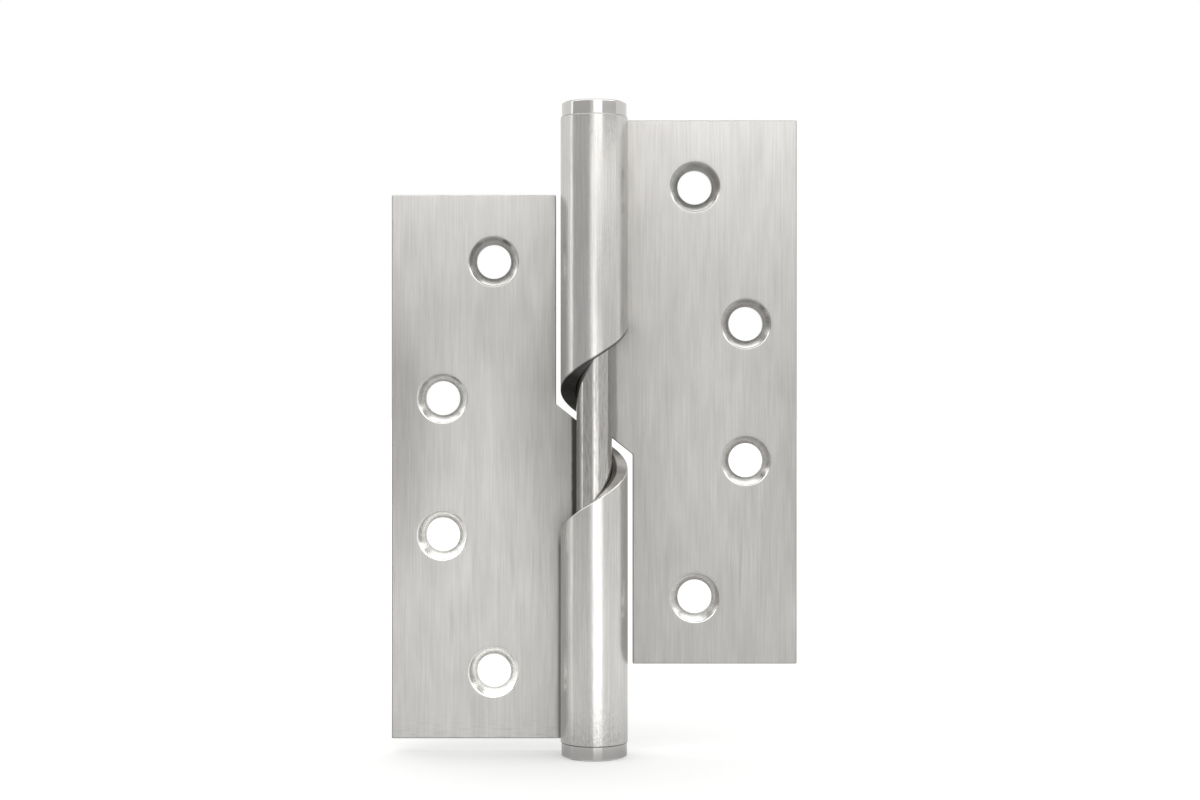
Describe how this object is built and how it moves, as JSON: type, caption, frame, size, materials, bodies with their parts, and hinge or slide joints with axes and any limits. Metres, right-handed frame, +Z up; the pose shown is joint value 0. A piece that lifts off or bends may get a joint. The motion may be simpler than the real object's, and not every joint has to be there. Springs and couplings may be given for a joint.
{
  "type": "rising butt hinge",
  "caption": "Rising butt hinge of brushed stainless steel: flat countersunk leaves on a plain pin, with helical knuckle ends that lift the door leaf as it swings open.",
  "frame": {"origin": "on the pin's axis, at the middle of the hinge's height", "axes": "+Z up along the pin, +Y towards the back faces that lie on the door and its frame, the door leaf towards +X when opened flat"},
  "size_m": [0.076, 0.0125, 0.1212],
  "materials": {
    "leaf_steel": "satin, brushed along the leaf's height",
    "pin_steel": "smooth, ground round",
    "cap_steel": "satin, turned"
  },
  "bodies": {
    "frame_leaf": {"frame_leaf": "leaf_steel", "bottom_cap": "cap_steel"},
    "pin": {"pin": "pin_steel"},
    "door_leaf": {"door_leaf": "leaf_steel", "top_cap": "cap_steel"}
  },
  "joints": [
    {"name": "swing", "type": "hinge", "parent": "frame_leaf", "child": "pin", "pos_m": [0, 0, 0], "axis": [0, 0, 1], "range_deg": [-180, 0]},
    {"name": "rise", "type": "slide", "parent": "pin", "child": "door_leaf", "axis": [0, 0, 1], "range_m": [-0.01201, 0]}
  ],
  "couplings": [
    {"joint": "rise", "follows": "swing", "m_per_rad": 0.0038197}
  ]
}
